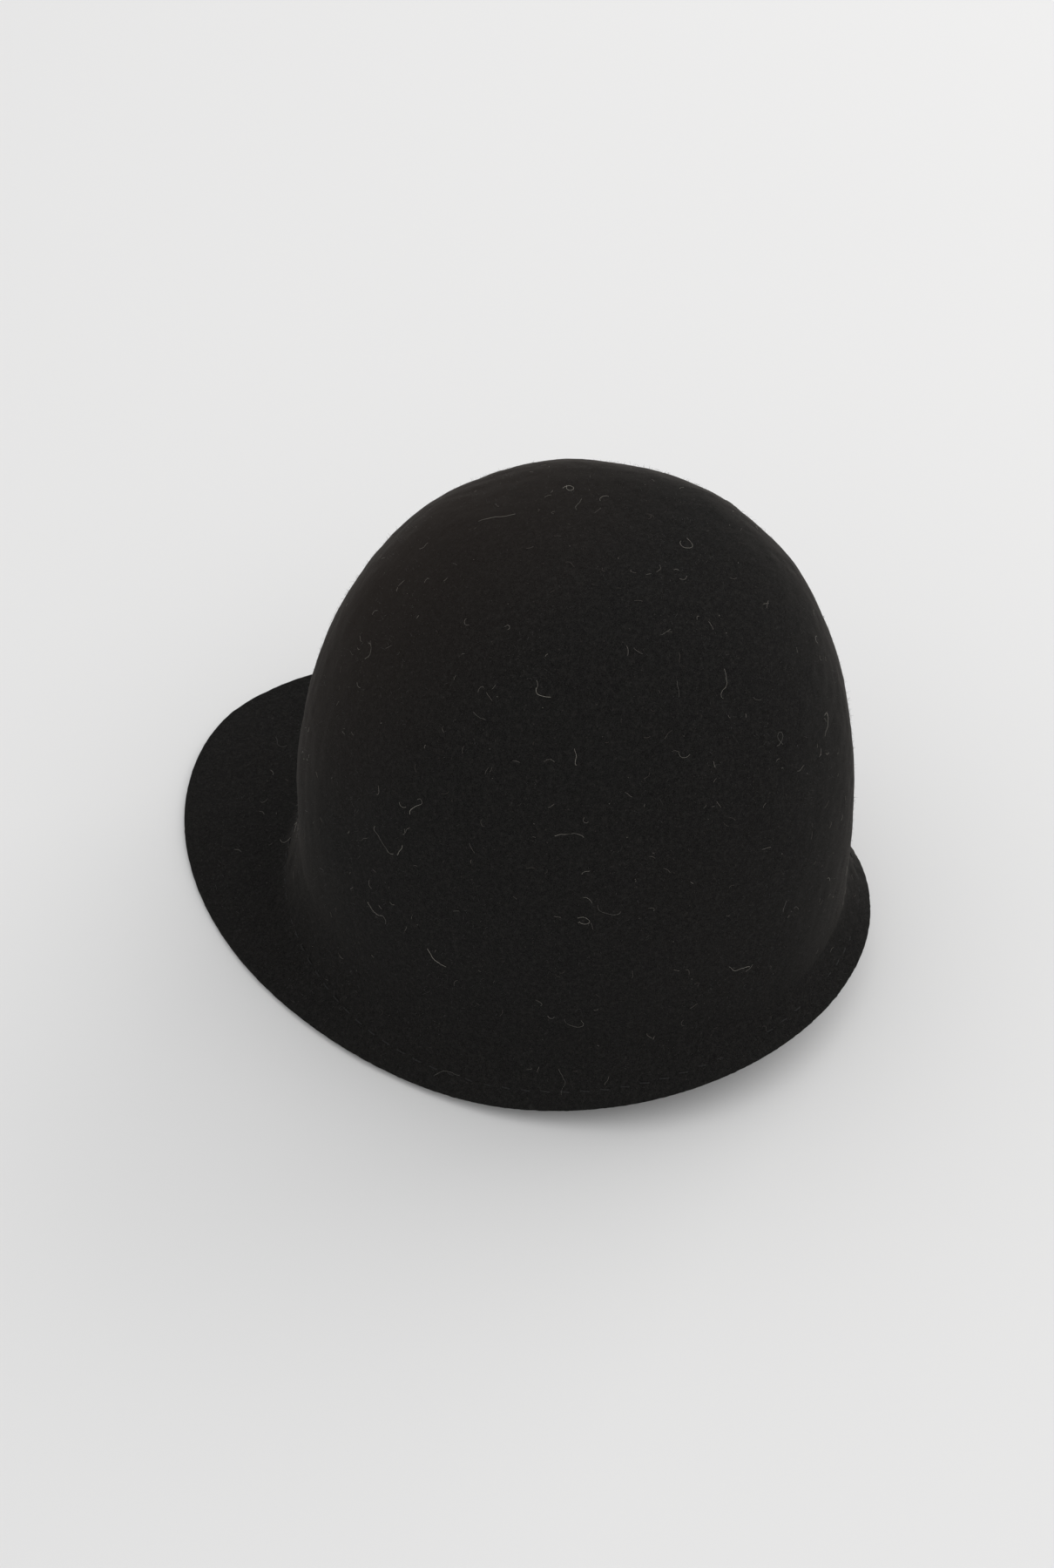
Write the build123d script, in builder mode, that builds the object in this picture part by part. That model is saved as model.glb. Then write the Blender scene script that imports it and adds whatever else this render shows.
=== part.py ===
from build123d import *
import os
from math import cos, exp, hypot, pi, radians, sin

# A felt hat with the deep dome of a bowler, a long front peak and a narrow flared rim.
# The crown, the peak and the rim are one piece of felt. Inside the head opening a grosgrain
# sweatband is sewn, with a woven label over its join and two folded tape labels beside it.
#
# Frame, in millimetres: the origin is the middle of the head opening, in the plane that the
# rim rests on. +Z is up, the peak points along -Y, and +X is the wearer's left.
# An angle around the hat runs from the peak (0) to the wearer's left (90) and the back (180).

os.makedirs("parts", exist_ok=True)

# Head opening, measured outside the felt at the waist, where the crown turns into the flare
waist_half_length = 98.3
waist_half_width = 90.9

# Crown above the waist
crown_height = 139.5
crown_upright_power = 2.35  # 2 is an ellipse, more is a fuller shoulder
crown_spread_power = 2.87
crown_front_power_loss = 0.48  # the front of the dome is rounder than its back
crown_taper = 0.016

# Flare below the waist: how far it leans out, and how far it drops
side_reach = 7.8
back_reach = 10.9
front_drop = 29.6
back_drop = 9.8
flare_bend = 0.35  # the share of the drop before the wall leans out

# Peak: a flat plate that runs on from the foot of the flare, with a rounded crease between
peak_reach = 53.0
peak_half_angle = radians(49.3)
peak_falloff_power = 1.6
peak_onset = 6.0  # where the plate is this wide, the flare has half gathered above the crease
crease_share = 0.51  # the share of the run that the flare keeps at the middle of the peak
crease_ease = 0.062

# Felt, sweatband and thread
felt_thickness = 2.6
band_thickness = 0.6
band_gap = 0.6
band_width = 32.0
thread_radius = 0.25
thread_sink = 0.05  # how far a thread's axis sits below the face it lies on
thread_bend_radius = 0.4

# The sweatband's seam: its height above the rim, its stitches, and the join of the band's ends
side_seam_rise = 7.0
back_seam_rise = 3.7
band_hem = 1.5  # how far the sweatband reaches below its stitches
stitch_pitch = 6.5
stitch_length = 3.4
seam_clearance = radians(2)  # from the join of the band's ends to the first stitch
join_gap = 0.6
join_stitch_count = 7
join_stitch_reach = 2.4
join_stitch_depth = 0.4

# The woven label over the join
label_width = 44.0
label_height = 17.0
label_thickness = 0.45
label_lift = 0.75  # from the sweatband's face, clear of the join's stitches
label_stitch_pitch = 3.6
label_stitch_length = 2.0
label_stitch_inset = 1.4

# The care label and the size label: folded tapes that hang from their sewn top edge
tape_thickness = 0.3
tape_fold_gap = 0.35
tape_standoff = 0.85
tape_drop = 3.0  # from the sweatband's top edge to a tape's top edge
tape_stitch_drop = 1.3
tape_stitch_length = 1.8
tape_stitch_pitch = 3.2
care_label_angle = radians(143)
care_label_width = 16.0
care_label_length = 24.0
size_label_angle = radians(-150)
size_label_width = 11.0
size_label_length = 13.0

# How finely the lofted felt and bands follow their formulas
ring_points = 40
crown_rings = 16
crown_ring_crowding = 1.4  # 1 is even, more draws the rings towards the top of the dome
flare_rings = 20
band_levels = 9
band_sections = 65
label_sections = 5
difference_step = 1e-4  # for slopes, in radians and in runs
halvings = 30  # for finding the run at a height
shoulder_run = 0.4  # the dome is steep everywhere below this run
rim_run = 2.0

waist_height = front_drop + felt_thickness
band_face_depth = felt_thickness + band_gap + band_thickness
label_face_depth = band_face_depth + label_lift + label_thickness
tape_half_thickness = tape_thickness + tape_fold_gap / 2


def back_weight(angle):
    """0 from the peak round to the sides, growing to 1 at the back."""
    return max(-cos(angle), 0.0) ** 2


def peak_weight(angle):
    """1 at the middle of the peak, falling away to 0 at the sides."""
    turn = (angle + pi) % (2 * pi) - pi
    return exp(-((abs(turn) / peak_half_angle) ** peak_falloff_power))


def waist_radius(angle):
    """The oval of the head opening."""
    return 1 / hypot(sin(angle) / waist_half_width, cos(angle) / waist_half_length)


def rim_drop(angle):
    """How far the rim's top edge lies below the waist."""
    return front_drop - (front_drop - back_drop) * back_weight(angle)


def crown_profile(angle, run):
    """Radius and rise above the waist, from the top of the dome (run 0) to the waist (run 1)."""
    arc = pi / 2 * run**crown_ring_crowding
    rise = crown_height * max(cos(arc), 0.0) ** (2 / crown_upright_power)
    power = crown_spread_power - crown_front_power_loss * cos(angle)
    spread = sin(arc) ** (2 / power)
    return waist_radius(angle) * spread * (1 - crown_taper * rise / crown_height), rise


def eased(value, ease):
    """0 below 0 and the value above it, rounded over the ease."""
    return (value + hypot(value, ease)) / 2


def flare_share(run, plate):
    """How far down the flare a run reaches; where there is a peak, the flare ends at the crease."""
    place_run, ease = run / crease_share, crease_ease / crease_share
    held = place_run - eased(place_run - 1, ease) + eased(-1, ease)
    most = 1 / crease_share - eased(1 / crease_share - 1, ease) + eased(-1, ease)
    weight = plate / (plate + peak_onset)
    return (1 - weight) * run + weight * held / most


def flare_profile(angle, run):
    """Radius and rise above the waist, from the waist (run 0) to the rim's edge (run 1)."""
    plate = peak_reach * peak_weight(angle)
    side = side_reach + (back_reach - side_reach) * back_weight(angle)
    down = flare_share(run, plate)
    start = eased(-crease_share, crease_ease)
    whole_plate = eased(1 - crease_share, crease_ease) - start
    along_plate = (eased(run - crease_share, crease_ease) - start) / whole_plate
    fall = rim_drop(angle) * (2 * flare_bend * down * (1 - down) + down**2)
    return waist_radius(angle) + side * down**2 + plate * along_plate, -fall


def profile(angle, run):
    """Radius and height on the felt's outer face: run 0 is the top, 1 the waist, 2 the rim."""
    radius, rise = crown_profile(angle, run) if run <= 1 else flare_profile(angle, run - 1)
    return radius, waist_height + rise


def place(angle, radius, height):
    return Vector(radius * sin(angle), -radius * cos(angle), height)


def outward(angle, run):
    """The outer face's unit normal."""
    if run == 0:
        return Vector(0, 0, 1)
    here = place(angle, *profile(angle, run))
    beside = place(angle + difference_step, *profile(angle + difference_step, run))
    lower_run = min(run + difference_step, rim_run)
    lower = place(angle, *profile(angle, lower_run))
    upper = place(angle, *profile(angle, lower_run - 2 * difference_step))
    return (lower - upper).cross(beside - here).normalized()


def profile_under(angle, run, depth):
    """Radius and height at a depth below the felt's outer face, in the same radial plane."""
    radius, height = profile(angle, run)
    normal = outward(angle, run)
    radial = normal.X * sin(angle) - normal.Y * cos(angle)
    share = depth / (radial**2 + normal.Z**2)
    return radius - radial * share, height - normal.Z * share


def run_at_height(angle, height):
    """The run at which the outer face passes a height, anywhere below the dome's shoulder."""
    upper, lower = shoulder_run, rim_run
    for _ in range(halvings):
        middle = (upper + lower) / 2
        if profile(angle, middle)[1] > height:
            upper = middle
        else:
            lower = middle
    return (upper + lower) / 2


def seam_height(angle):
    rise = side_seam_rise + (back_seam_rise - side_seam_rise) * back_weight(angle)
    return waist_height - rim_drop(angle) + rise


def band_bottom(angle):
    return seam_height(angle) - band_hem


def band_top(angle):
    return band_bottom(angle) + band_width


def felt_ring(run, depth):
    """A closed level curve of the felt at one depth. All rings share one even spacing."""
    angles = [2 * pi * n / ring_points - pi for n in range(ring_points)]
    points = [place(angle, *profile_under(angle, run, depth)) for angle in angles]
    shares = [n / ring_points for n in range(ring_points + 1)]
    with BuildLine() as ring:
        add(Edge.make_spline(points, periodic=True, parameters=shares))
    return ring.wire()


def felt_face(depth):
    """The felt's face at one depth, lofted from the top of the dome, and its rim curve."""
    runs = [n / crown_rings for n in range(1, crown_rings + 1)]
    runs += [1 + n / flare_rings for n in range(1, flare_rings + 1)]
    rings = [felt_ring(run, depth) for run in runs]
    top = Vertex(*place(0, *profile_under(0, 0, depth)))
    return Shell.make_loft([top] + rings), rings[-1]


def radial_plane(angle):
    """The plane through the hat's axis at an angle: its x is the radius and its y the height."""
    along_radius = (sin(angle), -cos(angle), 0)
    return Plane(origin=(0, 0, 0), x_dir=along_radius, z_dir=(-cos(angle), -sin(angle), 0))


def strip_section(angle, bottom, top, depth, thickness):
    """The cross-section of a thin strip that lies along the felt between two heights."""
    shares = [n / (band_levels - 1) for n in range(band_levels)]
    runs = [run_at_height(angle, bottom + (top - bottom) * share) for share in shares]
    outer = [profile_under(angle, run, depth) for run in runs]
    inner = [profile_under(angle, run, depth + thickness) for run in runs]
    with BuildSketch(radial_plane(angle)) as section:
        with BuildLine():
            add(Edge.make_spline([Vector(*point) for point in outer], parameters=shares))
            Line(outer[-1], inner[-1])
            add(Edge.make_spline([Vector(*point) for point in inner], parameters=shares))
            Line(inner[0], outer[0])
        make_face()
    return section.sketch


def face_plane(angle, height, depth):
    """A plane on a face below the felt: z points back to the felt, x runs level along it."""
    run = run_at_height(angle, height)
    normal = outward(angle, run)
    along = Vector(0, 0, 1).cross(normal)
    return Plane(origin=place(angle, *profile_under(angle, run, depth)), x_dir=along, z_dir=normal)


def wall_plane(angle, height, depth):
    """An upright plane square to the wall at a point: x points out to the wall and y up."""
    face = face_plane(angle, height, depth)
    out = Vector(face.z_dir.X, face.z_dir.Y, 0)
    return Plane(origin=face.origin, x_dir=out, z_dir=out.cross(Vector(0, 0, 1)))


def thread(length, depth):
    """One stitch: a bar of thread lying along x at the origin, its two ends turned down -z."""
    half = length / 2
    corners = [(-half, 0, -depth), (-half, 0, 0), (half, 0, 0), (half, 0, -depth)]
    with BuildLine() as path:
        FilletPolyline(*corners, radius=thread_bend_radius)
    with BuildSketch(Plane(origin=corners[0], z_dir=(0, 0, 1))) as section:
        Circle(thread_radius)
    return sweep(sections=section.sketch, path=path.line, mode=Mode.PRIVATE)


# Crown, peak and rim: one sheet of felt, its cut edge square to its two faces
with BuildPart() as felt_body:
    outer_face, outer_rim = felt_face(0)
    inner_face, inner_rim = felt_face(felt_thickness)
    cut_edge = Shell.make_loft([outer_rim, inner_rim], ruled=True)
    add(Solid(Shell(outer_face.faces() + inner_face.faces() + cut_edge.faces())))
felt_body.part.label = "felt_body"
export_step(felt_body.part, "parts/felt_body.step")

# Sweatband: one strip of ribbon, from one side of its join at the back round to the other
with BuildPart() as sweatband:
    half_join = join_gap / 2 / waist_half_length
    first_angle = -pi + half_join
    for n in range(band_sections):
        angle = first_angle - 2 * first_angle * n / (band_sections - 1)
        bottom, top = band_bottom(angle), band_top(angle)
        add(strip_section(angle, bottom, top, felt_thickness + band_gap, band_thickness))
    loft()
sweatband.part.label = "sweatband"
export_step(sweatband.part, "parts/sweatband.step")

# Sweatband stitches: an even row through felt and ribbon, all round the opening
with BuildPart() as sweatband_stitches:
    seam_planes = []
    seam_angle = -pi + seam_clearance
    while seam_angle < pi - seam_clearance:
        plane = face_plane(seam_angle, seam_height(seam_angle), thread_sink)
        seam_planes.append(plane)
        seam_angle += stitch_pitch / hypot(plane.origin.X, plane.origin.Y)
    with Locations(*[plane.location for plane in seam_planes]):
        add(thread(stitch_length, band_face_depth))
sweatband_stitches.part.label = "sweatband_stitches"
export_step(sweatband_stitches.part, "parts/sweatband_stitches.step")

# Join stitches: a ladder of thread across the gap between the sweatband's two ends
with BuildPart() as sweatband_join_stitches:
    join_rise = band_width / (join_stitch_count + 1)
    join_planes = []
    for n in range(1, join_stitch_count + 1):
        face = face_plane(pi, band_bottom(pi) + join_rise * n, band_face_depth - thread_sink)
        join_planes.append(Plane(origin=face.origin, x_dir=face.x_dir, z_dir=-face.z_dir))
    with Locations(*[plane.location for plane in join_planes]):
        add(thread(join_stitch_reach, join_stitch_depth))
sweatband_join_stitches.part.label = "sweatband_join_stitches"
export_step(sweatband_join_stitches.part, "parts/sweatband_join_stitches.step")

# Woven label: a plain ribbon patch over the join
label_middle = (band_bottom(pi) + band_top(pi)) / 2
label_bottom = label_middle - label_height / 2
label_top = label_middle + label_height / 2
label_half_angle = label_width / 2 / (waist_half_length - label_face_depth)
with BuildPart() as woven_label:
    for n in range(label_sections):
        angle = pi + label_half_angle * (2 * n / (label_sections - 1) - 1)
        back_depth = label_face_depth - label_thickness
        add(strip_section(angle, label_bottom, label_top, back_depth, label_thickness))
    loft()
woven_label.part.label = "woven_label"
export_step(woven_label.part, "parts/woven_label.step")

# Label stitches: a row of thread along each side of the label, through it and the sweatband
with BuildPart() as label_stitches:
    inset_angle = label_stitch_inset / (waist_half_length - label_face_depth)
    side_rows = round((label_height - 2 * label_stitch_inset) / label_stitch_pitch)
    end_rows = round((label_width - 2 * label_stitch_inset) / label_stitch_pitch)
    stitch_planes = []
    for n in range(end_rows):
        angle = pi + (label_half_angle - inset_angle) * ((2 * n + 1) / end_rows - 1)
        for height in (label_bottom + label_stitch_inset, label_top - label_stitch_inset):
            face = face_plane(angle, height, label_face_depth - thread_sink)
            stitch_planes.append(Plane(origin=face.origin, x_dir=face.x_dir, z_dir=-face.z_dir))
    for n in range(side_rows):
        share = (n + 0.5) / side_rows
        height = label_bottom + label_stitch_inset + (label_height - 2 * label_stitch_inset) * share
        for angle in (pi - label_half_angle + inset_angle, pi + label_half_angle - inset_angle):
            face = face_plane(angle, height, label_face_depth - thread_sink)
            up = face.z_dir.cross(face.x_dir)
            stitch_planes.append(Plane(origin=face.origin, x_dir=up, z_dir=-face.z_dir))
    with Locations(*[plane.location for plane in stitch_planes]):
        add(thread(label_stitch_length, label_thickness + label_lift + band_thickness / 2))
label_stitches.part.label = "label_stitches"
export_step(label_stitches.part, "parts/label_stitches.step")


def tape_plane(angle):
    """The upright plane through a hanging tape: its origin is on the tape's top edge."""
    top_height = band_top(angle) - tape_drop
    wall = wall_plane(angle, top_height, band_face_depth)
    origin = wall.origin - wall.x_dir * (tape_standoff + tape_half_thickness)
    return Plane(origin=origin, x_dir=wall.x_dir, z_dir=wall.z_dir)


def folded_tape(angle, width, length):
    """A tape folded double at its lower end, hanging flat beside the sweatband."""
    outer, inner = tape_half_thickness, tape_fold_gap / 2
    fold = outer - length
    with BuildSketch(tape_plane(angle)) as section:
        with BuildLine():
            Line((outer, 0), (outer, fold))
            ThreePointArc((outer, fold), (0, fold - outer), (-outer, fold))
            Line((-outer, fold), (-outer, 0))
            Line((-outer, 0), (-inner, 0))
            Line((-inner, 0), (-inner, fold))
            ThreePointArc((-inner, fold), (0, fold - inner), (inner, fold))
            Line((inner, fold), (inner, 0))
            Line((inner, 0), (outer, 0))
        make_face()
    return extrude(section.sketch, amount=width / 2, both=True, mode=Mode.PRIVATE)


def tape_thread_locations(angle, width):
    """Places for the row of stitches that closes a tape's top edge."""
    plane = tape_plane(angle)
    count = int(width / tape_stitch_pitch)
    locations = []
    for n in range(count):
        along = (n - (count - 1) / 2) * tape_stitch_pitch
        origin = plane.from_local_coords((thread_sink - tape_half_thickness, -tape_stitch_drop, along))
        locations.append(Plane(origin=origin, x_dir=plane.z_dir, z_dir=-plane.x_dir).location)
    return locations


# Care label: the wider tape
with BuildPart() as care_label:
    add(folded_tape(care_label_angle, care_label_width, care_label_length))
care_label.part.label = "care_label"
export_step(care_label.part, "parts/care_label.step")

with BuildPart() as care_label_stitches:
    with Locations(*tape_thread_locations(care_label_angle, care_label_width)):
        add(thread(tape_stitch_length, 2 * tape_half_thickness))
care_label_stitches.part.label = "care_label_stitches"
export_step(care_label_stitches.part, "parts/care_label_stitches.step")

# Size label: the small square tape
with BuildPart() as size_label:
    add(folded_tape(size_label_angle, size_label_width, size_label_length))
size_label.part.label = "size_label"
export_step(size_label.part, "parts/size_label.step")

with BuildPart() as size_label_stitches:
    with Locations(*tape_thread_locations(size_label_angle, size_label_width)):
        add(thread(tape_stitch_length, 2 * tape_half_thickness))
size_label_stitches.part.label = "size_label_stitches"
export_step(size_label_stitches.part, "parts/size_label_stitches.step")
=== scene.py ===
from math import cos, pi, radians, sin

import bpy
import numpy as np
from mathutils import Matrix, Vector


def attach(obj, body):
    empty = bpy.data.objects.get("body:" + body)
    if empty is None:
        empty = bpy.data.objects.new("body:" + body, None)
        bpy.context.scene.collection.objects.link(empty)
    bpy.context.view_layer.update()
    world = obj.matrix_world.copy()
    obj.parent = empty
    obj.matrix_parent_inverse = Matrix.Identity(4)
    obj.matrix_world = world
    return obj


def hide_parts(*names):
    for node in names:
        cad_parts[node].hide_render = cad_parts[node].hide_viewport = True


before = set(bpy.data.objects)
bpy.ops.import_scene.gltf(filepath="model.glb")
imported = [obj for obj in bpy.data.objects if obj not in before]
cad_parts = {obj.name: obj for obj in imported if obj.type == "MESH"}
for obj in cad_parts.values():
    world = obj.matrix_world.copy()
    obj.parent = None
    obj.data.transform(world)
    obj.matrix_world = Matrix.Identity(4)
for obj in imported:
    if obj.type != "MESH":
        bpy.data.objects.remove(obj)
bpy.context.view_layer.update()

# A black wool felt hat: a bowler's deep dome, a front peak and a narrow flared rim.
# Metres, in the frame of the CAD model: +Z up from the plane the rim rests on, the peak along -Y.
# An angle around the hat runs from the peak (0) to the wearer's left (90) and the back (180).

MM = 0.001
random = np.random.default_rng(7)
UP = np.array((0.0, 0.0, 1.0))

# ---------------------------------------------------------------- driving dimensions

WAIST_HALF_LENGTH = 98.3 * MM
WAIST_HALF_WIDTH = 90.9 * MM
CROWN_HEIGHT = 139.5 * MM
CROWN_UPRIGHT_POWER = 2.35
CROWN_SPREAD_POWER = 2.87
CROWN_FRONT_POWER_LOSS = 0.48
CROWN_TAPER = 0.016
CROWN_CROWDING = 1.4  # 1 is even, more draws the mesh's rings towards the top of the dome
SIDE_REACH = 7.8 * MM
BACK_REACH = 10.9 * MM
FRONT_DROP = 29.6 * MM
BACK_DROP = 9.8 * MM
FLARE_BEND = 0.35
PEAK_REACH = 53.0 * MM
PEAK_HALF_ANGLE = radians(49.3)
PEAK_FALLOFF_POWER = 1.6
PEAK_ONSET = 6.0 * MM
CREASE_SHARE = 0.51
CREASE_EASE = 0.062
FELT = 2.6 * MM
WARM_PATCH_CENTRE = (4 * MM, -74 * MM, 138 * MM)  # the middle of a warmer, lighter patch on the front of the dome's top
BAND_GAP = 0.6 * MM
BAND = 0.6 * MM
BAND_WIDTH = 32.0 * MM
SIDE_SEAM_RISE = 7.0 * MM
BACK_SEAM_RISE = 3.7 * MM
BAND_HEM = 1.5 * MM
BAND_JOIN_GAP = 0.6 * MM
SEAM_CLEARANCE = radians(2)  # from the join of the sweatband's ends to the first stitch
STITCH_PITCH = 6.5 * MM
STITCH_LENGTH = 3.4 * MM
THREAD = 0.25 * MM
LABEL_WIDTH = 44.0 * MM
LABEL_HEIGHT = 17.0 * MM
LABEL_THICKNESS = 0.45 * MM
LABEL_LIFT = 0.75 * MM
LABEL_INSET = 1.4 * MM
LABEL_PITCH = 3.6 * MM
TAPE_THICKNESS = 0.3 * MM
TAPE_FOLD_GAP = 0.35 * MM
TAPE_STANDOFF = 0.85 * MM
TAPE_DROP = 3.0 * MM
TAPE_STITCH_DROP = 1.3 * MM
TAPE_STITCH_PITCH = 3.2 * MM

WAIST_HEIGHT = FRONT_DROP + FELT
BAND_FACE = FELT + BAND_GAP + BAND
LABEL_FACE = BAND_FACE + LABEL_LIFT + LABEL_THICKNESS
RIM_RUN = 2.0
SHOULDER_RUN = 0.4  # the dome is steep everywhere below this run
STEP = 1e-4  # for slopes, in radians and in runs

# ---------------------------------------------------------------- the hat's form


def back_weight(angle):
    """0 from the peak round to the sides, growing to 1 at the back."""
    return np.clip(-np.cos(angle), 0, 1) ** 2


def peak_weight(angle):
    """1 at the middle of the peak, falling away to 0 at the sides."""
    turn = (angle + pi) % (2 * pi) - pi
    return np.exp(-((np.abs(turn) / PEAK_HALF_ANGLE) ** PEAK_FALLOFF_POWER))


def rim_drop(angle):
    return FRONT_DROP - (FRONT_DROP - BACK_DROP) * back_weight(angle)


def eased(value, ease):
    """0 below 0 and the value above it, rounded over the ease."""
    return (value + np.hypot(value, ease)) / 2


def flare_share(run, plate):
    """How far down the flare a run reaches; where there is a peak, the flare ends at the crease."""
    ease = CREASE_EASE / CREASE_SHARE
    held = run / CREASE_SHARE - eased(run / CREASE_SHARE - 1, ease) + eased(-1, ease)
    most = 1 / CREASE_SHARE - eased(1 / CREASE_SHARE - 1, ease) + eased(-1, ease)
    weight = plate / (plate + PEAK_ONSET)
    return (1 - weight) * run + weight * held / most


def profile(angle, run):
    """Radius and height of the felt's outer face: run 0 is the top, 1 the waist, 2 the rim."""
    waist = 1 / np.hypot(np.sin(angle) / WAIST_HALF_WIDTH, np.cos(angle) / WAIST_HALF_LENGTH)
    arc = pi / 2 * np.clip(run, 0, 1) ** CROWN_CROWDING
    rise = CROWN_HEIGHT * np.clip(np.cos(arc), 0, 1) ** (2 / CROWN_UPRIGHT_POWER)
    spread = np.sin(arc) ** (2 / (CROWN_SPREAD_POWER - CROWN_FRONT_POWER_LOSS * np.cos(angle)))
    crown_radius = waist * spread * (1 - CROWN_TAPER * rise / CROWN_HEIGHT)

    below = np.clip(run - 1, 0, 1)
    plate = PEAK_REACH * peak_weight(angle)
    side = SIDE_REACH + (BACK_REACH - SIDE_REACH) * back_weight(angle)
    down = flare_share(below, plate)
    start = eased(-CREASE_SHARE, CREASE_EASE)
    whole_plate = eased(1 - CREASE_SHARE, CREASE_EASE) - start
    along_plate = (eased(below - CREASE_SHARE, CREASE_EASE) - start) / whole_plate
    fall = rim_drop(angle) * (2 * FLARE_BEND * down * (1 - down) + down**2)
    flare_radius = waist + side * down**2 + plate * along_plate
    on_crown = run <= 1
    radius = np.where(on_crown, crown_radius, flare_radius)
    return radius, WAIST_HEIGHT + np.where(on_crown, rise, -fall)


def place(angle, radius, height):
    return np.stack([radius * np.sin(angle), -radius * np.cos(angle), height + 0 * angle], -1)


def unit(vectors):
    return vectors / np.maximum(np.linalg.norm(vectors, axis=-1, keepdims=True), 1e-12)


def outward(angle, run):
    """The outer face's unit normal."""
    last = np.clip(run + STEP, 2 * STEP, RIM_RUN)
    around = place(angle + STEP, *profile(angle + STEP, run)) - place(angle, *profile(angle, run))
    down = place(angle, *profile(angle, last)) - place(angle, *profile(angle, last - 2 * STEP))
    normal = unit(np.cross(down, around))
    at_top = np.broadcast_to(run, np.shape(normal)[:-1])[..., None] < STEP / 100
    return np.where(at_top, UP, normal)


def under(angle, run, depth):
    """Points at a depth below the felt's outer face, in the same radial plane."""
    radius, height = profile(angle, run)
    normal = outward(angle, run)
    radial = normal[..., 0] * np.sin(angle) - normal[..., 1] * np.cos(angle)
    share = depth / (radial**2 + normal[..., 2] ** 2)
    return place(angle, radius - radial * share, height - normal[..., 2] * share)


def run_at_height(angle, height):
    """The run at which the outer face passes a height, anywhere below the dome's shoulder."""
    halvings = 32
    upper = np.full(np.broadcast(angle, height).shape, SHOULDER_RUN)
    lower = np.full_like(upper, RIM_RUN)
    for _ in range(halvings):
        middle = (upper + lower) / 2
        above = profile(angle, middle)[1] > height
        upper = np.where(above, middle, upper)
        lower = np.where(above, lower, middle)
    return (upper + lower) / 2


def seam_height(angle):
    rise = SIDE_SEAM_RISE + (BACK_SEAM_RISE - SIDE_SEAM_RISE) * back_weight(angle)
    return WAIST_HEIGHT - rim_drop(angle) + rise


def band_bottom(angle):
    return seam_height(angle) - BAND_HEM


def lumps(points, wavelength, amplitude, waves=40):
    """A smooth, even unevenness: a sum of plane waves of about one wavelength."""
    directions = unit(random.normal(size=(waves, 3)))
    numbers = 2 * pi / (wavelength * random.uniform(0.7, 1.5, waves))
    phases = random.uniform(0, 2 * pi, waves)
    total = np.zeros(points.shape[:-1])
    for direction, number, phase in zip(directions, numbers, phases):
        total += np.sin(points @ direction * number + phase)
    return total * amplitude * (2 / waves) ** 0.5


# ---------------------------------------------------------------- mesh helpers


def grid_faces(rows, columns, first=0, closed=False, flip=False):
    """Quads over a grid of vertices stored row by row."""
    i = np.arange(rows - 1)[:, None]
    j = np.arange(columns if closed else columns - 1)[None, :]
    row, next_row = i * columns, (i + 1) * columns
    next_j = (j + 1) % columns
    quads = np.stack([row + j, row + next_j, next_row + next_j, next_row + j], -1)
    quads = quads.reshape(-1, 4) + first
    return quads[:, ::-1] if flip else quads


def make_piece(name, vertices, faces, material, body, replaces=()):
    mesh = bpy.data.meshes.new(name)
    faces = [list(map(int, face)) for face in faces]
    mesh.from_pydata(np.asarray(vertices).reshape(-1, 3).tolist(), [], faces)
    mesh.validate()
    mesh.shade_smooth()
    mesh.materials.append(material)
    piece = bpy.data.objects.new(name, mesh)
    bpy.context.scene.collection.objects.link(piece)
    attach(piece, body)
    if replaces:
        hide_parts(*replaces)


def slab(front, back):
    """A closed sheet between two grids of points: front faces the viewer of its rows going up."""
    rows, columns = front.shape[:2]
    count = rows * columns
    index = np.arange(count).reshape(rows, columns)
    faces = [*grid_faces(rows, columns), *grid_faces(rows, columns, first=count, flip=True)]
    border = [*index[0], *index[1:, -1], *index[-1, -2::-1], *index[-2:0:-1, 0]]
    for here, there in zip(border, border[1:] + border[:1]):
        faces.append([there, here, here + count, there + count])
    return np.concatenate([front.reshape(-1, 3), back.reshape(-1, 3)]), faces


def tube(path, radii, sides=6, twist=0.0, plies=0.0):
    """A closed tube along a path; plies swells it into twisted strands."""
    path = np.asarray(path)
    tangent = unit(np.gradient(path, axis=0))
    steep = 0.8
    helper = UP if abs(tangent[0, 2]) < steep else np.array([1.0, 0.0, 0.0])
    side = unit(np.cross(tangent, helper))
    other = np.cross(tangent, side)
    turn = np.linspace(0, 2 * pi, sides, endpoint=False)[None, :]
    length = np.arange(len(path))[:, None]
    swell = np.asarray(radii)[:, None] * (1 + plies * np.cos(2 * (turn - twist * length)))
    spoke = np.cos(turn)[..., None] * side[:, None] + np.sin(turn)[..., None] * other[:, None]
    rings = path[:, None] + swell[..., None] * spoke
    faces = [*grid_faces(len(path), sides, closed=True), list(range(sides))[::-1]]
    faces.append([(len(path) - 1) * sides + n for n in range(sides)])
    return rings.reshape(-1, 3), faces


def gather(parts):
    """Joins (vertices, faces) pairs into one pair."""
    vertices, faces, first = [], [], 0
    for points, quads in parts:
        vertices.append(points)
        faces += [[n + first for n in quad] for quad in quads]
        first += len(points)
    return np.concatenate(vertices), faces


# ---------------------------------------------------------------- materials


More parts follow.
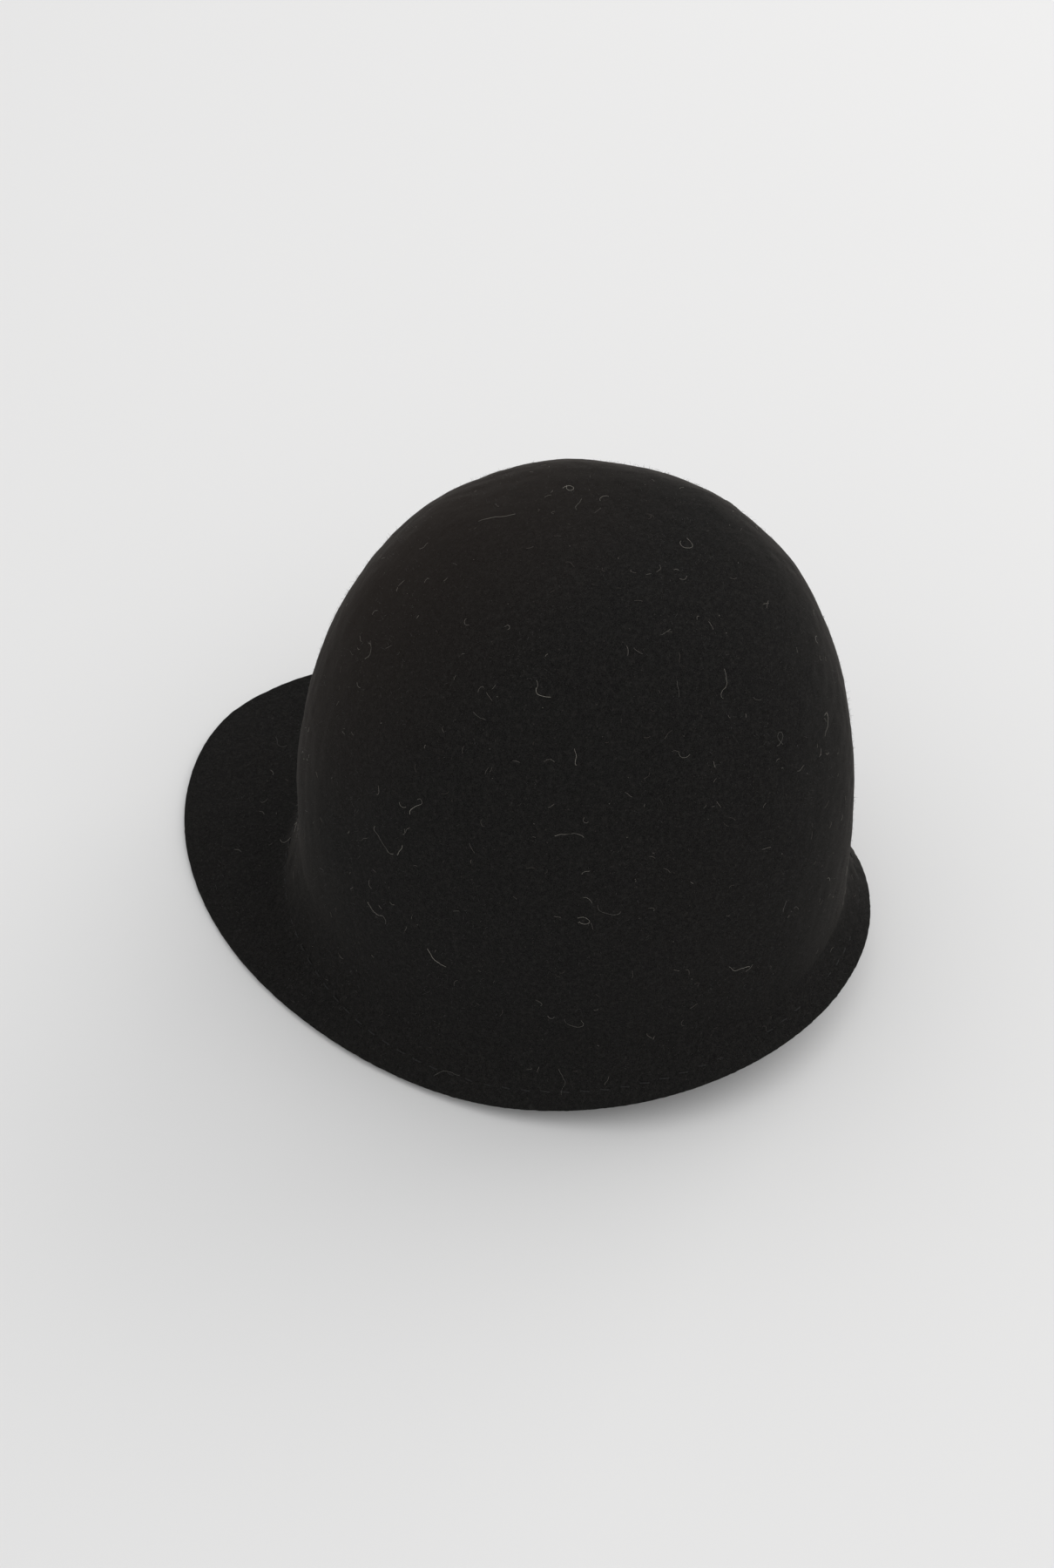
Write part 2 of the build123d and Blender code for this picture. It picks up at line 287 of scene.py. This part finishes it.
class Nodes:
    """A short way to write a material's node tree."""

    def __init__(self, name):
        self.material = bpy.data.materials.new(name)
        self.material.use_nodes = True
        self.tree = self.material.node_tree
        self.shader = self.tree.nodes["Principled BSDF"]
        self.place = self.add("ShaderNodeTexCoord").outputs["Object"]

    def add(self, kind, inputs=None, **settings):
        node = self.tree.nodes.new(kind)
        for key, value in settings.items():
            setattr(node, key, value)
        for key, value in (inputs or {}).items():
            if isinstance(value, bpy.types.NodeSocket):
                self.tree.links.new(value, node.inputs[key])
            else:
                node.inputs[key].default_value = value
        return node

    def noise(self, scale, detail=2.0, roughness=0.5):
        inputs = {"Vector": self.place, "Scale": scale, "Detail": detail, "Roughness": roughness}
        return self.add("ShaderNodeTexNoise", inputs).outputs["Fac"]

    def blend(self, factor, low, high):
        node = self.add("ShaderNodeMix", data_type="RGBA")
        self.tree.links.new(factor, node.inputs["Factor"])
        for socket, colour in ((node.inputs[6], low), (node.inputs[7], high)):
            if isinstance(colour, bpy.types.NodeSocket):
                self.tree.links.new(colour, socket)
            else:
                socket.default_value = (*colour, 1)
        return node.outputs[2]

    def ramp(self, factor, low, high, least=0.0, most=1.0):
        """least where the factor is low, most where it is high."""
        inputs = {"Value": factor, "From Min": low, "From Max": high, "To Min": least, "To Max": most}
        return self.add("ShaderNodeMapRange", inputs).outputs["Result"]

    def math(self, operation, first, second):
        return self.add("ShaderNodeMath", {0: first, 1: second}, operation=operation).outputs[0]

    def bump(self, height, strength, distance):
        inputs = {"Height": height, "Strength": strength, "Distance": distance}
        return self.add("ShaderNodeBump", inputs).outputs["Normal"]

    def set(self, **inputs):
        names = {"color": "Base Color", "roughness": "Roughness", "normal": "Normal", "sheen": "Sheen Weight",
                 "sheen_roughness": "Sheen Roughness", "sheen_tint": "Sheen Tint",
                 "specular": "Specular IOR Level"}
        for key, value in inputs.items():
            socket = self.shader.inputs[names[key]]
            if isinstance(value, bpy.types.NodeSocket):
                self.tree.links.new(value, socket)
            elif socket.type == "RGBA":
                socket.default_value = (*value, 1)
            else:
                socket.default_value = value
        return self.material


def felt_material():
    """Brushed black wool: matted fibres, pale flecks, a warmer, lighter patch on the front of the dome, and
    painted sheen, a lighter colour painted where the felt is seen edge on, more on faces that look up.
    """
    nodes = Nodes("wool_felt")
    fibres = nodes.noise(3400, 4, 0.75)
    mat = nodes.noise(900, 3, 0.65)
    flecks = nodes.noise(1500, 2, 0.6)
    cloud = nodes.noise(16, 2, 0.5)
    tint = nodes.blend(nodes.ramp(cloud, 0.35, 0.7), (0.0067, 0.0069, 0.0068), (0.0077, 0.0074, 0.0070))
    # a warmer, lighter colour that grows towards a point on the front of the dome's top
    away = nodes.add("ShaderNodeVectorMath", {0: nodes.place, 1: WARM_PATCH_CENTRE}, operation="DISTANCE")
    tufts = nodes.noise(720, 3, 0.7)
    matted = nodes.blend(nodes.ramp(mat, 0.62, 0.36), tint, (0.0030, 0.0030, 0.0030))
    tufted = nodes.blend(nodes.ramp(tufts, 0.48, 0.76), matted, (0.0175, 0.0168, 0.0158))
    grain = nodes.blend(nodes.ramp(fibres, 0.38, 0.78), tufted, (0.0260, 0.0250, 0.0238))
    warm_patch_share = nodes.ramp(away.outputs["Value"], 105 * MM, 30 * MM, most=0.6)
    warm_patched = nodes.blend(warm_patch_share, grain, (0.0235, 0.0178, 0.0150))
    spots = nodes.blend(nodes.ramp(flecks, 0.66, 0.82), warm_patched, (0.050, 0.044, 0.040))
    normal = nodes.bump(nodes.math("ADD", fibres, mat), 0.9, 0.24 * MM)
    # painted sheen: a lighter colour painted where the felt is seen edge on, and more on faces that look up,
    # a painted highlight for the nap's glow at grazing angles
    facing = nodes.add("ShaderNodeLayerWeight", {"Blend": 0.5}).outputs["Facing"]
    edge = nodes.math("POWER", facing, 6.0)
    true_normal = nodes.add("ShaderNodeNewGeometry").outputs["Normal"]
    level = nodes.add("ShaderNodeSeparateXYZ", {0: true_normal}).outputs["Z"]
    fuzz_and_painted_sheen = nodes.math("MULTIPLY", edge, nodes.ramp(level, -0.2, 0.8, least=0.35))
    painted_edge_sheen_colour = nodes.blend(fuzz_and_painted_sheen, spots, (0.072, 0.066, 0.061))
    return nodes.set(color=painted_edge_sheen_colour, roughness=0.95, specular=0.03, normal=normal, sheen=0.006,
                     sheen_roughness=0.4, sheen_tint=(1.0, 0.96, 0.92))


def ribbon_material(name, dark, light, sheen, rib_scale):
    """Woven ribbon or tape: fine yarns, a little lustre, and soft unevenness in its dye."""
    nodes = Nodes(name)
    yarn = nodes.noise(rib_scale * 3, 2, 0.5)
    cloud = nodes.noise(90, 3, 0.6)
    inputs = {"Vector": nodes.place, "Scale": rib_scale, "Distortion": 0.6}
    wave = nodes.add("ShaderNodeTexWave", inputs, bands_direction="Z").outputs["Fac"]
    colour = nodes.blend(nodes.ramp(cloud, 0.3, 0.75), dark, light)
    normal = nodes.bump(nodes.math("ADD", wave, yarn), 0.5, 0.08 * MM)
    rough = nodes.ramp(yarn, 0.0, 1.0, least=0.42, most=0.7)
    return nodes.set(color=colour, roughness=rough, specular=0.35, normal=normal, sheen=sheen,
                     sheen_roughness=0.35, sheen_tint=(1.0, 1.0, 1.0))


def thread_material():
    nodes = Nodes("sewing_thread")
    fuzz_and_painted_sheen = nodes.noise(5200, 2, 0.6)
    colour = nodes.blend(fuzz_and_painted_sheen, (0.010, 0.010, 0.0102), (0.026, 0.0255, 0.025))
    normal = nodes.bump(fuzz_and_painted_sheen, 0.4, 0.06 * MM)
    return nodes.set(color=colour, roughness=0.7, specular=0.12, normal=normal, sheen=0.02)


def fibre_material(name, dark, light):
    """Loose fibres: each a little different in colour."""
    nodes = Nodes(name)
    colour = nodes.blend(nodes.ramp(nodes.noise(55, 1), 0.38, 0.62), dark, light)
    return nodes.set(color=colour, roughness=0.75, specular=0.2, sheen=0.1)


felt_look = felt_material()
thread_look = thread_material()
grosgrain_look = ribbon_material("grosgrain", (0.008, 0.008, 0.0085), (0.015, 0.015, 0.016), 0.1, 900.0)
woven_look = ribbon_material("woven_label_ribbon", (0.020, 0.020, 0.022), (0.034, 0.034, 0.037), 0.15, 1400.0)
satin_look = ribbon_material("satin_tape", (0.50, 0.485, 0.45), (0.62, 0.605, 0.565), 0.1, 1700.0)

# ---------------------------------------------------------------- felt


def felt_piece():
    """Crown, peak and rim as one sheet of felt, with a softly rounded cut edge."""
    columns, crown_rows, flare_rows = 560, 170, 110
    angle = np.linspace(-pi, pi, columns, endpoint=False)[None, :]
    edge_round = 0.9 * MM
    short = 0.005
    rim = place(angle, *profile(angle, RIM_RUN))
    above_rim = place(angle, *profile(angle, RIM_RUN - short))
    last_run = RIM_RUN - edge_round / (np.linalg.norm(rim - above_rim, axis=-1) / short)

    crown_runs = np.linspace(0, 1, crown_rows)[1:, None] + 0 * angle
    flare_runs = 1 + np.linspace(0, 1, flare_rows)[1:, None] * (last_run - 1)
    runs = np.concatenate([crown_runs, flare_runs])
    angles = angle + 0 * runs
    outer = under(angles, runs, 0.0)
    normal = outward(angles, runs)

    settle = 0.1 * MM
    groove_depth, groove_width = 0.1 * MM, 1.5 * MM
    to_seam = outer[..., 2] - seam_height(angles)
    slope = np.maximum(np.hypot(normal[..., 0], normal[..., 1]), 0.35)
    groove = -groove_depth * np.exp(-((to_seam / slope / groove_width) ** 2))
    uneven = lumps(outer, 34 * MM, 0.22 * MM) + lumps(outer, 9 * MM, 0.06 * MM)
    uneven = uneven + lumps(outer, 3 * MM, 0.018 * MM)
    outer = outer + normal * (groove + uneven - settle)[..., None]

    inner_runs = np.concatenate([crown_runs[::3], flare_runs[::2], flare_runs[-1:]])
    inner = under(angle + 0 * inner_runs, inner_runs, FELT)

    outer_end, inner_end = outer[-1], inner[-1]
    middle = (outer_end + inner_end) / 2
    tip = under(angle[0], np.full(columns, RIM_RUN), FELT / 2)
    round_power = 0.62
    rounded = []
    for turn in np.linspace(0, pi, 9)[1:-1]:
        across = np.sign(cos(turn)) * abs(cos(turn)) ** round_power
        out = sin(turn) ** round_power
        rounded.append(middle + (outer_end - middle) * across + (tip - middle) * out)
    rounded = np.array(rounded)
    edge = rounded + unit(rounded - middle) * lumps(rounded, 2.2 * MM, 0.05 * MM)[..., None]

    rows = np.concatenate([outer, edge, inner[::-1]])
    centre = np.array([0.0])
    top = under(centre, centre, 0.0) - (0, 0, settle)
    bottom = under(centre, centre, FELT)
    vertices = np.concatenate([rows.reshape(-1, 3), top, bottom])
    faces = [*grid_faces(len(rows), columns, closed=True, flip=True)]
    top_index, bottom_index = len(vertices) - 2, len(vertices) - 1
    last_row = (len(rows) - 1) * columns
    for n in range(columns):
        following = (n + 1) % columns
        faces.append([top_index, n, following])
        faces.append([bottom_index, last_row + following, last_row + n])
    make_piece("felt_hat_body", vertices, faces, felt_look, "hat", ["felt_body"])


felt_piece()

# ---------------------------------------------------------------- sweatband


def strip_grid(first_angle, last_angle, columns, bottom, top, rows, depth):
    """A grid of points along the felt's inside; bottom and top are heights for each angle."""
    angle = np.linspace(first_angle, last_angle, columns)[None, :]
    share = np.linspace(0, 1, rows)[:, None]
    height = bottom(angle) + (top(angle) - bottom(angle)) * share
    angles = angle + 0 * height
    return under(angles, run_at_height(angles, height), depth)


def sweatband_piece():
    """Grosgrain ribbon: upright ribs along its whole length, a firm selvedge at both edges."""
    rib_pitch, rib_relief, selvedge_relief = 1.05 * MM, 0.07 * MM, 0.03 * MM
    press_depth, press_width = 0.1 * MM, 1.6 * MM
    per_rib, rows = 4, 26
    columns = int(pi * (WAIST_HALF_LENGTH + WAIST_HALF_WIDTH) / rib_pitch) * per_rib
    half_join = BAND_JOIN_GAP / 2 / WAIST_HALF_LENGTH
    first, last = -pi + half_join, pi - half_join

    def top(angle):
        return band_bottom(angle) + BAND_WIDTH

    rib = np.cos(2 * pi * np.arange(columns) / per_rib)[None, :]
    share = np.linspace(0, 1, rows)[:, None]
    selvedge = np.exp(-((np.minimum(share, 1 - share) / 0.03) ** 2))
    relief = rib * (1 - selvedge) * rib_relief + selvedge * selvedge_relief
    outer = strip_grid(first, last, columns, band_bottom, top, rows, FELT + BAND_GAP)
    inner = strip_grid(first, last, columns, band_bottom, top, rows, BAND_FACE - press_depth)
    inward = unit(inner - outer)
    to_seam = (share * BAND_WIDTH - BAND_HEM) / press_width
    wave = lumps(inner, 26 * MM, 0.12 * MM)
    pressed = -press_depth * np.exp(-(to_seam**2))
    inner = inner + inward * (relief + np.abs(wave) * 0.5 + pressed)[..., None]
    vertices, faces = slab(inner, outer)
    make_piece("grosgrain_sweatband", vertices, faces, grosgrain_look, "hat", ["sweatband"])


sweatband_piece()

# ---------------------------------------------------------------- stitches


def face_frame(angle, height, depth):
    """Origin, level direction, and direction back to the felt, on a face below the felt."""
    angle = np.array([angle])
    run = run_at_height(angle, np.array([height]))
    normal = outward(angle, run)[0]
    along = unit(np.cross(UP, normal))
    return under(angle, run, depth)[0], along, normal


def stitch(origin, along, out, length, thread=THREAD, dive=0.7 * MM):
    """One stitch of two-ply thread: it lies on the cloth and dips in at both ends."""
    share = np.linspace(-1, 1, 17)
    bow = 1 - np.abs(share) ** 6
    proud = thread * 0.35
    offsets = along * (share * length / 2)[:, None] + out * ((bow - 1) * dive + proud)[:, None]
    wobble = random.normal(scale=0.03 * MM, size=3)
    radii = np.full(len(share), thread)
    return tube(origin + wobble + offsets, radii, sides=8, twist=0.55, plies=0.2)


def make_thread(name, parts, body, node):
    vertices, faces = gather(parts)
    make_piece(name, vertices, faces, thread_look, body, [node])


def seam_stitches_piece():
    """The row that holds the sweatband, seen on the felt and on the ribbon."""
    parts = []
    angle = -pi + SEAM_CLEARANCE
    while angle < pi - SEAM_CLEARANCE:
        height = float(seam_height(np.array(angle)))
        origin, along, normal = face_frame(angle, height, 0.25 * MM)
        parts.append(stitch(origin, along, normal, STITCH_LENGTH))
        inner_origin, inner_along, _ = face_frame(angle, height, BAND_FACE)
        parts.append(stitch(inner_origin, inner_along, -normal, STITCH_LENGTH))
        angle += STITCH_PITCH / np.hypot(origin[0], origin[1])
    make_thread("seam_thread", parts, "hat", "sweatband_stitches")


def join_stitches_piece():
    """A ladder of leaning stitches over the gap between the sweatband's ends."""
    count = 7
    parts = []
    bottom = float(band_bottom(np.array(pi)))
    for n in range(1, count + 1):
        origin, along, normal = face_frame(pi, bottom + BAND_WIDTH / (count + 1) * n, BAND_FACE)
        lean = along * 1.2 * MM + UP * 0.35 * MM * (-1) ** n
        parts.append(stitch(origin, unit(lean), -normal, 2.4 * MM, 0.2 * MM, 0.35 * MM))
    make_thread("join_thread", parts, "hat", "sweatband_join_stitches")


seam_stitches_piece()
join_stitches_piece()

# ---------------------------------------------------------------- woven label

LABEL_HALF_ANGLE = LABEL_WIDTH / 2 / (WAIST_HALF_LENGTH - LABEL_FACE)
LABEL_MIDDLE = float(band_bottom(np.array(pi))) + BAND_WIDTH / 2


def woven_label_piece():
    """A plain damask ribbon patch."""
    columns, rows = 177, 69
    first, last = pi - LABEL_HALF_ANGLE, pi + LABEL_HALF_ANGLE

    def bottom(angle):
        return LABEL_MIDDLE - LABEL_HEIGHT / 2 + 0 * angle

    def top(angle):
        return LABEL_MIDDLE + LABEL_HEIGHT / 2 + 0 * angle

    outer = strip_grid(first, last, columns, bottom, top, rows, LABEL_FACE - LABEL_THICKNESS)
    inner = strip_grid(first, last, columns, bottom, top, rows, LABEL_FACE - 0.08 * MM)
    inward = unit(inner - outer)
    across = np.abs(np.linspace(-1, 1, columns))[None, :]
    up = np.abs(np.linspace(-1, 1, rows))[:, None]
    pick = np.cos(np.arange(rows) * pi)[:, None]
    end = np.cos(np.arange(columns) * pi)[None, :]
    weave = pick * end * 0.02 * MM
    border = 0.05 * MM * ((up > 0.9) | (across > 0.95))
    pillow = 0.12 * MM * (1 - up**4) * (1 - across**8)
    dent_width = 0.5 * MM
    from_row = (1 - up) * LABEL_HEIGHT / 2 - LABEL_INSET
    from_side = (1 - across) * LABEL_WIDTH / 2 - LABEL_INSET
    near = np.maximum(np.exp(-((from_row / dent_width) ** 2)), np.exp(-((from_side / dent_width) ** 2)))
    dent = -0.12 * MM * near
    inner = inner + inward * (weave + border + pillow + dent)[..., None]
    vertices, faces = slab(inner, outer)
    make_piece("plain_woven_label", vertices, faces, woven_look, "hat", ["woven_label"])


def label_stitches_piece():
    """A row along each of the label's four sides."""
    length, thread, dive = 2.0 * MM, 0.17 * MM, 0.4 * MM
    parts = []
    inset = LABEL_INSET / (WAIST_HALF_LENGTH - LABEL_FACE)
    end_rows = round((LABEL_WIDTH - 2 * LABEL_INSET) / LABEL_PITCH)
    side_rows = round((LABEL_HEIGHT - 2 * LABEL_INSET) / LABEL_PITCH)
    half = LABEL_HEIGHT / 2 - LABEL_INSET
    for n in range(end_rows):
        angle = pi + (LABEL_HALF_ANGLE - inset) * ((2 * n + 1) / end_rows - 1)
        for height in (LABEL_MIDDLE - half, LABEL_MIDDLE + half):
            origin, along, normal = face_frame(angle, height, LABEL_FACE)
            parts.append(stitch(origin, along, -normal, length, thread, dive))
    for n in range(side_rows):
        height = LABEL_MIDDLE - half + 2 * half * (n + 0.5) / side_rows
        for angle in (pi - LABEL_HALF_ANGLE + inset, pi + LABEL_HALF_ANGLE - inset):
            origin, along, normal = face_frame(angle, height, LABEL_FACE)
            parts.append(stitch(origin, np.cross(normal, along), -normal, length, thread, dive))
    make_thread("label_thread", parts, "hat", "label_stitches")


woven_label_piece()
label_stitches_piece()

# ---------------------------------------------------------------- folded tapes


def tape_pieces(name, angle, width, length, body, node):
    """A tape folded double at its lower end and stitched along its top edge."""
    top = float(band_bottom(np.array(angle))) + BAND_WIDTH - TAPE_DROP
    origin, _, normal = face_frame(angle, top, BAND_FACE)
    out = unit(np.array([normal[0], normal[1], 0.0]))
    level = np.cross(out, UP)
    half = TAPE_THICKNESS + TAPE_FOLD_GAP / 2
    origin = origin - out * (TAPE_STANDOFF + half)
    centre_line = half - TAPE_THICKNESS / 2
    straight = length - half

    leg_rows, columns = 22, 41
    down = np.linspace(0, straight, leg_rows)
    turn = np.linspace(0, pi, 11)[1:-1]
    leg = np.ones(leg_rows)
    out_part = np.concatenate([leg, np.cos(turn), -leg])
    down_part = np.concatenate([0 * leg, np.sin(turn), 0 * leg])
    offset = centre_line * out_part
    depth = np.concatenate([down, straight + centre_line * np.sin(turn), down[::-1]])
    across = np.linspace(-1, 1, columns)
    sag = 0.06 * MM * np.sin(across * 4.1 + 0.4)[None, :] * (depth / length)[:, None]
    pick = np.cos(np.arange(len(depth)) * pi)[:, None]
    end = np.cos(np.arange(columns) * pi)[None, :]
    weave = 0.012 * MM * end * pick
    half_cloth = TAPE_THICKNESS / 2 * 0.92  # room for the weave inside the tape's thickness

    def face(side):
        reach = side * half_cloth + weave * side
        x = offset[:, None] + out_part[:, None] * reach + sag
        z = -(depth[:, None] + down_part[:, None] * reach)
        y = across[None, :] * width / 2 + 0 * x
        return origin + x[..., None] * out + y[..., None] * level + z[..., None] * UP

    vertices, faces = slab(face(1), face(-1))
    make_piece(name, vertices, faces, satin_look, body, [node])

    stitch_size, thread, dive = 1.8 * MM, 0.16 * MM, 0.25 * MM
    count = int(width / TAPE_STITCH_PITCH)
    parts = []
    for n in range(count):
        along = (n - (count - 1) / 2) * TAPE_STITCH_PITCH
        middle = origin + level * along - UP * TAPE_STITCH_DROP
        for side in (-1, 1):
            parts.append(stitch(middle + out * side * half, level, out * side, stitch_size, thread, dive))
    make_thread(name + "_thread", parts, body, node + "_stitches")


tape_pieces("care_tape_loop", radians(143), 16 * MM, 24 * MM, "care_tape", "care_label")
tape_pieces("size_tape_loop", radians(-150), 11 * MM, 13 * MM, "size_tape", "size_label")

# ---------------------------------------------------------------- nap and lint


def scatter(count, lowest_run):
    """Random places on the felt's outer face, even over its area, with normals and tangents."""
    tries = count * 6
    angle = random.uniform(-pi, pi, tries)
    run = random.uniform(0.02, lowest_run, tries)
    step = 1e-3
    here = place(angle, *profile(angle, run))
    width = np.linalg.norm(place(angle + step, *profile(angle + step, run)) - here, axis=-1)
    height = np.linalg.norm(place(angle, *profile(angle, run + step)) - here, axis=-1)
    area = width * height
    most = np.quantile(area, 0.98)
    kept = np.flatnonzero(random.uniform(0, most, tries) < area)[:count]
    normal = outward(angle[kept], run[kept])
    tangent = unit(np.cross(normal, random.normal(size=normal.shape)))
    return angle[kept], run[kept], here[kept], normal, tangent


def nap_piece():
    """Short stray fibres of the felt itself, which soften its outline."""
    fibres, root, radius = 12000, 0.25 * MM, 0.028 * MM
    _, _, points, normals, tangents = scatter(fibres, lowest_run=1.985)
    parts = []
    share = np.linspace(0, 1, 4)[:, None]
    taper = 1.05 - share[:, 0] * 0.7
    for point, normal, tangent in zip(points, normals, tangents):
        length = random.uniform(0.5, 1.9) * MM
        lift = random.uniform(0.25, 0.75)
        bend = random.normal(scale=0.35, size=3)
        reach = tangent * share * (1 - lift) + normal * share * lift + bend * share**2 * 0.4
        path = point - normal * root + length * reach
        parts.append(tube(path, radius * taper, sides=3))
    vertices, faces = gather(parts)
    make_piece("felt_nap", vertices, faces, nap_look, "hat")


def curl(angle, run, length, wander, radius, lift):
    """A loose fibre that wanders over the felt."""
    link, least_links, unevenness = 0.3 * MM, 8, 0.03 * MM
    step, least_speed = 1e-3, 20 * MM
    steps = max(least_links, int(length / link))
    pace = length / steps
    heading = random.uniform(0, 2 * pi)
    turn_rate = random.normal(scale=wander)
    path = []

    def spot(at_angle, at_run):
        return place(np.array(at_angle), *profile(np.array(at_angle), np.array(at_run)))

    for _ in range(steps):
        point = spot(angle, run)
        normal = outward(np.array([angle]), np.array([run]))[0]
        path.append(point + normal * (lift + random.normal(scale=unevenness)))
        heading += turn_rate + random.normal(scale=wander * 0.5)
        turn_rate = 0.85 * turn_rate + random.normal(scale=wander * 0.35)
        around = np.linalg.norm(spot(angle + step, run) - point) / step
        down = np.linalg.norm(spot(angle, run - step) - point) / step
        angle += cos(heading) * pace / max(around, least_speed)
        run = float(np.clip(run + sin(heading) * pace / max(down, least_speed), 0.03, 1.97))
    path = np.array(path)
    for _ in range(2):
        path[1:-1] = (path[:-2] + 2 * path[1:-1] + path[2:]) / 4
    return tube(path, np.full(len(path), radius), sides=5)


def lint_piece(name, count, lengths, wander, radius, look):
    """Lint caught on the felt."""
    lift = 0.22 * MM
    angles, runs, _, _, _ = scatter(count, lowest_run=1.75)
    parts = []
    for angle, run in zip(angles, runs):
        length = random.uniform(*lengths) * MM
        thickness = radius * random.uniform(0.7, 1.25)
        parts.append(curl(float(angle), float(run), length, wander, thickness, lift))
    vertices, faces = gather(parts)
    make_piece(name, vertices, faces, look, "hat")


nap_look = fibre_material("nap_fibre", (0.016, 0.016, 0.016), (0.070, 0.066, 0.061))
pale_look = fibre_material("pale_lint", (0.10, 0.095, 0.085), (0.34, 0.32, 0.28))
dust_look = fibre_material("dust_lint", (0.055, 0.045, 0.038), (0.19, 0.175, 0.155))
nap_piece()
lint_piece("long_lint", 64, (3.5, 13.0), 0.19, 0.040 * MM, pale_look)
lint_piece("short_lint", 480, (1.0, 4.2), 0.26, 0.036 * MM, dust_look)
lint_piece("lint_specks", 170, (0.15, 0.4), 0.3, 0.04 * MM, pale_look)

# ---------------------------------------------------------------- floor, light and camera


def floor_piece():
    """A wide, flat, pale floor."""
    half, count = 6.0, 24
    grid = np.linspace(-half, half, count)
    x, y = np.meshgrid(grid, grid)
    vertices = np.stack([x, y, 0 * x], -1).reshape(-1, 3)
    mesh = bpy.data.meshes.new("floor")
    mesh.from_pydata(vertices.tolist(), [], grid_faces(count, count).tolist())
    nodes = Nodes("pale_floor")
    colour = nodes.blend(nodes.noise(3.0, 2), (0.80, 0.80, 0.80), (0.81, 0.81, 0.81))
    mesh.materials.append(nodes.set(color=colour, roughness=0.9, specular=0.05))
    floor = bpy.data.objects.new("floor", mesh)
    bpy.context.scene.collection.objects.link(floor)


def area_light(name, power, size, position, target, colour=(1, 1, 1)):
    data = bpy.data.lights.new(name, "AREA")
    data.energy, data.size, data.color = power, size, colour
    light = bpy.data.objects.new(name, data)
    light.location = position
    light.rotation_euler = (Vector(target) - Vector(position)).to_track_quat("-Z", "Y").to_euler()
    bpy.context.scene.collection.objects.link(light)


def world_light(strength):
    world = bpy.data.worlds.new("studio")
    world.use_nodes = True
    background = world.node_tree.nodes["Background"]
    background.inputs["Color"].default_value = (1, 1, 1, 1)
    background.inputs["Strength"].default_value = strength
    bpy.context.scene.world = world


def camera():
    """Behind the wearer's left, looking down on the hat."""
    azimuth, elevation, roll = radians(122.44), radians(46.22), radians(-2.88)
    distance = 0.8177
    sensor_height, focal_length = 36.0, 53.44
    shift_left, shift_up = 0.028333, 0.033833  # of the image's height
    target = Vector((0, 0, WAIST_HEIGHT))
    right = Vector((cos(azimuth), sin(azimuth), 0))
    back = Vector((sin(azimuth) * cos(elevation), -cos(azimuth) * cos(elevation), sin(elevation)))
    up = back.cross(right)
    x_axis = right * cos(roll) - up * sin(roll)
    y_axis = right * sin(roll) + up * cos(roll)
    data = bpy.data.cameras.new("camera")
    data.sensor_fit = "VERTICAL"
    data.sensor_height = sensor_height
    data.lens = focal_length
    data.shift_x = -shift_left
    data.shift_y = shift_up
    view = bpy.data.objects.new("camera", data)
    turned = Matrix((x_axis, y_axis, back)).transposed().to_4x4()
    view.matrix_world = Matrix.Translation(target + back * distance) @ turned
    bpy.context.scene.collection.objects.link(view)
    bpy.context.scene.camera = view


floor_piece()
world_light(0.78)
area_light("top_softbox", 11, 2.4, (0.1, 0.9, 2.3), (0, 0, 0.1))
area_light("back_softbox", 19, 2.0, (-2.2, 0.5, 1.1), (0, 0, 0.1), (1.0, 0.98, 0.96))
camera()

bpy.context.scene.view_settings.view_transform = "Standard"
